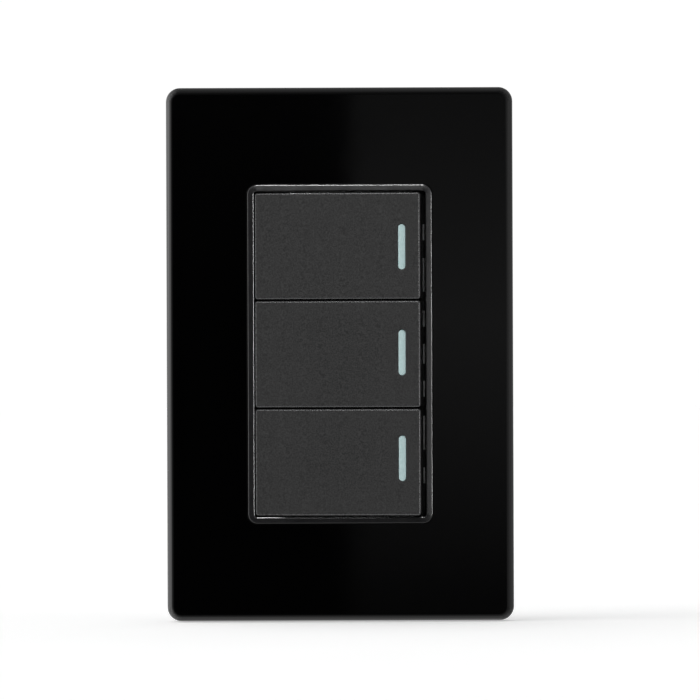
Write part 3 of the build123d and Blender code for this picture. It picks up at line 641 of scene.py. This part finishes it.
keys = []
for gang in GANGS:
    shapes = [key_shape(STRIP_LIFT[gang])] + key_inside()
    key = make_mesh(f"rocker_key_cap_{gang}", shapes, key_swing(gang))
    keep_flats_flat(key)
    key.data.materials.append(key_satin)
    # The second material is the edge finish, whose lighter colour is a painted highlight.
    key.data.materials.append(key_edge_highlight)
    paint_key_edge_highlight(key, 5)
    keys.append(key)
    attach(key, f"rocker_{gang}")
    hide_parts(f"rocker_key_{gang}")
    print("key", gang, "faces", len(key.data.polygons))

# %% [markdown]
# ## Indicator strips
#
# A strip is a slim lens with fully round ends, a little crowned, seated in the key's slot
# with a hairline gap round it. Behind the face it widens into a foot that stops it from
# being pushed out. Outlines that shrink toward the slot's middle line give the crown.

# %% Indicator strips
STRIP_FOOT, STRIP_EDGE, STRIP_CROWN = 0.9, 0.16, 0.2


def strip_outline(radius, steps=20):
    half = STRIP_L / 2 - STRIP_W / 2
    points = []
    for angle in arc_steps(0, 180, steps):
        points.append((STRIP_X + radius * math.cos(angle), half + radius * math.sin(angle)))
    for angle in arc_steps(180, 360, steps):
        points.append((STRIP_X + radius * math.cos(angle), -half + radius * math.sin(angle)))
    return points


def strip_shape(lift):
    radius, foot_radius = STRIP_W / 2, STRIP_W / 2 + STRIP_FOOT
    foot_low, foot_high = under_face - 0.6, under_face - 0.02
    edge = KEY_FRONT - 0.05 - STRIP_EDGE
    steps = [(0.3, foot_low), (foot_radius - 0.1, foot_low), (foot_radius, foot_low + 0.1)]
    steps += [(foot_radius, foot_high), (radius, foot_high), (radius, edge)]
    steps += [(radius * math.cos(a), edge + STRIP_CROWN * math.sin(a)) for a in arc_steps(15, 88, 7)]
    loops = [[(x, -h, z + lift) for x, z in strip_outline(r)] for r, h in steps]
    return stacked(loops, closed=False)


for gang in GANGS:
    strip = make_mesh(f"indicator_lens_{gang}", [strip_shape(STRIP_LIFT[gang])], key_swing(gang))
    keep_flats_flat(strip)
    strip.data.materials.append(strip_pale)
    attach(strip, f"rocker_{gang}")
    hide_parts(f"indicator_strip_{gang}")
print("indicator strips made:", len(GANGS))

# %% [markdown]
# ## Box screws
#
# Two machine screws hold the frame to the wall box. A thread is a ridge that winds round a
# core, so the surface is made as a tube whose radius rises and falls once per pitch, with
# the rise shifted a little further along for every step round the screw.

# %% Box screws
THREAD_R, CORE_R, THREAD_PITCH, THREAD_LENGTH = 1.75, 1.38, 0.7, 20.0
THREAD_STEP, SCREW_ROUNDS = 0.07, 28
HEAD_R = 3.3
HEAD = ((0.3, -3.9), (2.2, -3.75), (2.9, -3.4), (3.25, -2.8), (HEAD_R, -2.15), (3.15, -2.0))
NECK = ((1.3, -2.0), (1.3, -0.02))
SCREW_Z = size_of("box_screws").z / 2 - HEAD_R
SLOT_HALF, SLOT_FLOOR = 0.45, 3.0


def thread_radius(along, turn):
    """Radius at a distance along the screw and a share of a turn."""
    phase = (along / THREAD_PITCH - turn) % 1.0
    ridge = 1 - abs(2 * phase - 1)
    ridge = min(max((ridge - 0.12) * 1.4, 0), 1)
    fade = min(along / 0.6, (THREAD_LENGTH - along) / 1.2, 1)
    return CORE_R + (THREAD_R - CORE_R) * ridge * max(fade, 0)


def screw_ring(radius, y, z):
    """One outline round the screw; radius is a number or a rule for a share of a turn."""
    ring = []
    for k in range(SCREW_ROUNDS):
        angle = 2 * math.pi * k / SCREW_ROUNDS
        r = radius(k / SCREW_ROUNDS) if callable(radius) else radius
        ring.append((r * math.cos(angle), y, z + r * math.sin(angle)))
    return ring


def screw_shape(z):
    loops = [screw_ring(radius, y, z) for radius, y in HEAD + NECK]
    steps = int(THREAD_LENGTH / THREAD_STEP)
    for i in range(steps + 1):
        along = THREAD_LENGTH * i / steps
        loops.append(screw_ring(lambda turn: thread_radius(along, turn), along, z))
    loops.append(screw_ring(0.9, THREAD_LENGTH + 0.01, z))
    return stacked(loops, closed=False)


def cut(piece, cutter):
    """Takes the cutter's shape out of a piece and leaves a plain mesh."""
    hole = piece.modifiers.new("cut", "BOOLEAN")
    hole.operation, hole.solver, hole.object = "DIFFERENCE", "EXACT", cutter
    graph = bpy.context.evaluated_depsgraph_get()
    result = bpy.data.meshes.new_from_object(piece.evaluated_get(graph))
    piece.modifiers.clear()
    piece.data = result
    bpy.data.objects.remove(cutter)


screws = make_mesh("box_screws_threaded", [screw_shape(SCREW_Z), screw_shape(-SCREW_Z)])
slots = []
for side in (-1, 1):
    low, high = side * SCREW_Z - SLOT_HALF, side * SCREW_Z + SLOT_HALF
    slots.append(block((-5, -5, low), (5, -SLOT_FLOOR, high), 0.05))
cut(screws, make_mesh("slot cutter", slots))
keep_flats_flat(screws, 50)
screws.data.materials.append(screw_steel)
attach(screws, "base")
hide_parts("box_screws")
print("box screw faces:", len(screws.data.polygons))

# %% [markdown]
# ## Engineering pieces that stay
#
# The frame, the module halves and the mechanism keep their engineering meshes, because
# their shapes are already exact. They still need what a mould or a press leaves: softened
# edges. A Weld modifier first joins the points that the file splits at sharp edges, a Bevel
# rounds those edges, and a weighted normal keeps the flats flat.

# %% Dress the engineering pieces
FINISHES = {
    "support_frame": (frame_plastic, 0.2),
    "module_collar": (collar_plastic, 0.12),
    "module_housing": (housing_plastic, 0.15),
    "rocker_carrier": (carrier_nylon, 0.12),
    "plunger": (carrier_nylon, 0.1),
    "plunger_spring": (spring_steel, 0.0),
    "contact_lever": (lever_brass, 0.06),
    "moving_contact": (contact_silver, 0.05),
    "fixed_contact": (contact_silver, 0.05),
    "fixed_terminal": (terminal_brass, 0.1),
    "common_terminal": (terminal_brass, 0.1),
    "terminal_screws": (terminal_screw_steel, 0.06),
}


def dress(node, finish, soften):
    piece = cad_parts[node]
    piece.data.materials.clear()
    piece.data.materials.append(finish)
    if soften:
        join = piece.modifiers.new("join split points", "WELD")
        join.merge_threshold = 0.002 * MM
        bevel = piece.modifiers.new("softened edges", "BEVEL")
        bevel.width = soften * MM
        bevel.segments = 2
        bevel.limit_method = "ANGLE"
        bevel.angle_limit = math.radians(35)
        bevel.use_clamp_overlap = True
        weigh = piece.modifiers.new("flat faces stay flat", "WEIGHTED_NORMAL")
        weigh.weight = 80


BESIDE_KEY = 18.4 * MM


def paint_tooth_highlights(collar):
    """Gives the tops of the collar's teeth, the foremost faces beside the key, a pale colour that is a
    painted highlight.
    """
    collar.data.materials.append(collar_tooth_highlight)
    beside = [v.co for v in collar.data.vertices if abs(v.co.x) > BESIDE_KEY]
    front = max(-(collar.matrix_world @ co).y for co in beside)
    for polygon in collar.data.polygons:
        centre = collar.matrix_world @ polygon.center
        if abs(centre.x) > BESIDE_KEY and -centre.y > front - 0.02 * MM:
            polygon.material_index = 1


dressed = 0
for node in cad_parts:
    kind = node if node in FINISHES else node.rsplit("_", 1)[0]
    if kind in FINISHES:
        dress(node, *FINISHES[kind])
        dressed += 1
    # The collar teeth's front faces get the painted highlight.
    if kind == "module_collar":
        paint_tooth_highlights(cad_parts[node])
print("engineering pieces dressed:", dressed)

# %% [markdown]
# ## Floor and light
#
# The object is black gloss, so what it mirrors is what it looks like. A product studio would
# build a tent: dark straight ahead, where the flat face looks, and brighter the further a
# direction turns away from that, with the strongest panel on the left. Here the world shader
# is the tent. It reads only the direction of a ray: how far it turns away from straight
# ahead picks a brightness from one of four curves, and left, right, up or down decides how
# the four are mixed. The camera itself sees plain white behind the object.

# %% Tent light: four brightness curves
scene = bpy.context.scene
ANGLES = (0, 10, 26, 43, 61, 81, 104, 137, 180)
TENT_LEFT = (0.0, 0.02, 0.26, 1.17, 2.6, 2.95, 2.3, 1.3, 1.0)
TENT_RIGHT = (0.1, 0.25, 0.34, 0.46, 0.56, 0.62, 0.57, 0.5, 1.0)
TENT_ABOVE = (0.0, 0.06, 0.13, 0.23, 0.38, 0.52, 0.5, 0.4, 1.0)
TENT_BELOW = (0.0, 0.02, 0.16, 0.44, 0.86, 1.04, 0.9, 0.8, 1.0)
BRIGHTEST = 3.0

world = bpy.data.worlds.new("tent")
scene.world = world
world.use_nodes = True
tent, wire = world.node_tree.nodes, world.node_tree.links


def sum_up(operation, *values):
    """A Math node fed with sockets or plain numbers."""
    node = tent.new("ShaderNodeMath")
    node.operation = operation
    for slot, value in zip(node.inputs, values):
        if isinstance(value, (int, float)):
            slot.default_value = value
        else:
            wire.new(value, slot)
    return node.outputs[0]


def brightness_curve(away, values):
    """Brightness for an angle away from straight ahead, as a share of the brightest."""
    ramp = tent.new("ShaderNodeValToRGB")
    ramp.color_ramp.interpolation = "LINEAR"
    elements = ramp.color_ramp.elements
    while len(elements) < len(ANGLES):
        elements.new(0.5)
    for element, angle in zip(elements, ANGLES):
        element.position = angle / 180
    for element, value in zip(elements, values):
        share = value / BRIGHTEST
        element.color = (share, share, share, 1)
    wire.new(away, ramp.inputs["Fac"])
    return ramp.outputs["Color"]


print("angles in each curve:", len(ANGLES))

# %% Tent light: mix by direction
place = tent.new("ShaderNodeTexCoord")
parts = tent.new("ShaderNodeSeparateXYZ")
wire.new(place.outputs["Generated"], parts.inputs["Vector"])
side, ahead, up = parts.outputs
away = sum_up("DIVIDE", sum_up("ARCCOSINE", sum_up("MULTIPLY", ahead, -1.0)), math.pi)


def square_of_positive(value):
    return sum_up("POWER", sum_up("MAXIMUM", value, 0.0), 2.0)


left_part, right_part = square_of_positive(sum_up("MULTIPLY", side, -1.0)), square_of_positive(side)
above_part, below_part = square_of_positive(up), square_of_positive(sum_up("MULTIPLY", up, -1.0))
total = sum_up("ADD", sum_up("ADD", left_part, right_part), sum_up("ADD", above_part, below_part))
total = sum_up("MAXIMUM", total, 0.000001)
glow = None
for part, values in ((left_part, TENT_LEFT), (right_part, TENT_RIGHT), (above_part, TENT_ABOVE),
                     (below_part, TENT_BELOW)):
    share = sum_up("MULTIPLY", sum_up("DIVIDE", part, total), brightness_curve(away, values))
    glow = share if glow is None else sum_up("ADD", glow, share)
glow = sum_up("MULTIPLY", glow, BRIGHTEST)
print("tent nodes so far:", len(tent))

# %% [markdown]
# A perfectly even tent makes mirror gloss look like satin from the side, because there is
# nothing to mirror. Real tents have folds. Soft folds some ten degrees wide are multiplied
# in away from straight ahead, and the polished face shows them as long gentle gradients.

# %% Tent light: folds
FOLD_DEPTH, FOLDS_START, FOLDS_FULL = 0.55, 14, 34


def ramped(source, low, high, to_low=0.0, to_high=1.0):
    """A Map Range node from low..high to to_low..to_high."""
    span = tent.new("ShaderNodeMapRange")
    for name, value in (("From Min", low), ("From Max", high), ("To Min", to_low), ("To Max", to_high)):
        span.inputs[name].default_value = value
    wire.new(source, span.inputs["Value"])
    return span.outputs["Result"]


folds = tent.new("ShaderNodeTexNoise")
folds.inputs["Scale"].default_value = 7.0
folds.inputs["Detail"].default_value = 1.0
folds.inputs["Roughness"].default_value = 0.4
wire.new(place.outputs["Generated"], folds.inputs["Vector"])
fold_swing = ramped(folds.outputs["Fac"], 0.32, 0.68, -FOLD_DEPTH, FOLD_DEPTH)
off_axis = ramped(away, FOLDS_START / 180, FOLDS_FULL / 180)
fold = sum_up("ADD", 1.0, sum_up("MULTIPLY", fold_swing, off_axis))
glow = sum_up("MULTIPLY", glow, fold)
BACKDROP = 1.02
direct = tent.new("ShaderNodeLightPath").outputs["Is Camera Ray"]
seen = sum_up("MAXIMUM", glow, direct)
seen = sum_up("ADD", sum_up("MULTIPLY", direct, sum_up("SUBTRACT", BACKDROP, seen)), seen)
wire.new(seen, tent["Background"].inputs["Strength"])
tent["Background"].inputs["Color"].default_value = (1, 1, 1, 1)
scene.view_settings.view_transform = "Standard"
print("tent nodes:", len(tent))

# %% [markdown]
# The floor is a pale sheet that the plate stands on. It is kept out of mirror rays, because
# the tent already says what is bright below, and a floor that ran up to the foot of the
# plate would paint a grey band across its face.

# %% Floor
floor_paint = new_finish("floor_paint", (0.9, 0.9, 0.9), 0.9)
vary_colour(floor_paint, 60.0, (0.89, 0.89, 0.89), (0.92, 0.92, 0.92))
shader_of(floor_paint).inputs["Emission Color"].default_value = (1, 1, 1, 1)
shader_of(floor_paint).inputs["Emission Strength"].default_value = 0.35
FLOOR_Z = cad_low.z - 0.0002
floor_mesh = bpy.data.meshes.new("floor")
FLOOR_HALF = 6.0
floor_signs = ((-1, -1), (1, -1), (1, 1), (-1, 1))
floor_corners = [(sx * FLOOR_HALF, sy * FLOOR_HALF, FLOOR_Z) for sx, sy in floor_signs]
floor_mesh.from_pydata(floor_corners, [], [(0, 1, 2, 3)])
floor = bpy.data.objects.new("floor", floor_mesh)
scene.collection.objects.link(floor)
floor.data.materials.append(floor_paint)
floor.visible_glossy = False
print("floor at z =", round(FLOOR_Z / MM, 2), "mm")

# %% [markdown]
# One dim panel stands behind the camera, just right of the middle. The face mirrors it as a
# soft veil that begins at a clean upright line and fades toward the foot of the plate.

# %% Veil panel
VEIL_LEFT, VEIL_RIGHT, VEIL_HALF, VEIL_Y = 0.0027, 0.24, 0.22, -2.25
VEIL_FADE = 0.16
VEIL_LOW, VEIL_MIDDLE, VEIL_TOP = (0.08, 0.035), (0.55, 0.18), (0.97, 0.1)
veil_mesh = bpy.data.meshes.new("veil_panel")
veil_corners = [(VEIL_LEFT, VEIL_Y, -VEIL_HALF), (VEIL_RIGHT, VEIL_Y, -VEIL_HALF)]
veil_corners += [(VEIL_RIGHT, VEIL_Y, VEIL_HALF), (VEIL_LEFT, VEIL_Y, VEIL_HALF)]
veil_mesh.from_pydata(veil_corners, [], [(0, 1, 2, 3)])
veil = bpy.data.objects.new("veil_panel", veil_mesh)
scene.collection.objects.link(veil)
veil_paint = new_finish("veil_panel", (0.0, 0.0, 0.0), 1.0, specular=0.0)
veil_nodes, veil_links = veil_paint.node_tree.nodes, veil_paint.node_tree.links
veil_place = veil_nodes.new("ShaderNodeTexCoord")
veil_parts = veil_nodes.new("ShaderNodeSeparateXYZ")
veil_fade = veil_nodes.new("ShaderNodeValToRGB")
veil_span = veil_nodes.new("ShaderNodeMapRange")
veil_links.new(veil_place.outputs["Object"], veil_parts.inputs["Vector"])
veil_links.new(veil_parts.outputs["Z"], veil_span.inputs["Value"])
veil_span.inputs["From Min"].default_value = -VEIL_FADE
veil_span.inputs["From Max"].default_value = VEIL_FADE
for element, (position, value) in zip(veil_fade.color_ramp.elements, (VEIL_LOW, VEIL_MIDDLE)):
    element.position, element.color = position, (value, value, value, 1)
veil_end = veil_fade.color_ramp.elements.new(VEIL_TOP[0])
veil_end.color = (VEIL_TOP[1], VEIL_TOP[1], VEIL_TOP[1], 1)
veil_links.new(veil_span.outputs["Result"], veil_fade.inputs["Fac"])
veil_links.new(veil_fade.outputs["Color"], shader_of(veil_paint).inputs["Emission Color"])
shader_of(veil_paint).inputs["Emission Strength"].default_value = 1.0
veil.data.materials.append(veil_paint)
veil.visible_camera = veil.visible_shadow = veil.visible_diffuse = False
print("veil panel placed")

# %% [markdown]
# Small lamps draw the thin bright lines along edges that face up and right. Four light the
# trim ring alone, two grazing the wall and two weaker ones from the front, and two more
# light only the rounded edges and faces of the keys. Light linking does what a studio flag
# does: it keeps a lamp off everything except its subject.

# %% Edge lamps
def soft_lamp(name, place, width, height, power):
    light = bpy.data.lights.new(name, "AREA")
    light.shape = "RECTANGLE"
    light.size, light.size_y = width, height
    light.energy = power
    lamp = bpy.data.objects.new(name, light)
    lamp.location = place
    lamp.rotation_euler = (-Vector(place)).to_track_quat("-Z", "Y").to_euler()
    scene.collection.objects.link(lamp)
    return lamp


def lamps_for(name, pieces, lamps):
    """Lets some lamps light some pieces only."""
    subjects = bpy.data.collections.new(name)
    for piece in pieces:
        subjects.objects.link(piece)
    for lamp in lamps:
        lamp.light_linking.receiver_collection = subjects


lamps_for("lit by the rim lamps", [ring], [
    soft_lamp("top_rim_lamp", (0.0, -0.2, 1.0), 0.3, 0.16, 20),
    soft_lamp("right_rim_lamp", (1.0, -0.2, 0.0), 0.16, 0.3, 11),
    soft_lamp("right_front_lamp", (0.36, -1.15, 0.0), 0.16, 0.3, 0.5),
    soft_lamp("top_front_lamp", (0.0, -1.1, 0.42), 0.2, 0.1, 1.6)])
lamps_for("lit by the key lamps", keys, [
    soft_lamp("top_key_lamp", (0.0, -0.95, 0.66), 0.3, 0.12, 2.6),
    soft_lamp("right_key_lamp", (0.66, -0.95, 0.0), 0.12, 0.3, 1.6)])
print("edge lamps placed")

# %% [markdown]
# ## Camera
#
# The view is straight from the front through a long lens, so the sides vanish behind the
# face. The distance and the lens together decide how much of the wall plane fits in the
# frame, and a tiny roll shows the plate a fifth of a degree off level.

# %% Camera
VIEW_WIDTH = 157.4 * MM
DISTANCE = 1.6
SHIFT_RIGHT, SHIFT_UP, ROLL = 2.27, 0.91, 0.2
camera_data = bpy.data.cameras.new("camera")
camera_data.sensor_width = 36.0
camera_data.lens = 36.0 * DISTANCE / VIEW_WIDTH
camera = bpy.data.objects.new("camera", camera_data)
camera.location = (SHIFT_RIGHT * MM, -plate_front * MM - DISTANCE, SHIFT_UP * MM)
camera.rotation_euler = (math.radians(90), math.radians(ROLL), 0)
scene.collection.objects.link(camera)
scene.camera = camera
print("lens in mm:", round(camera_data.lens, 1))
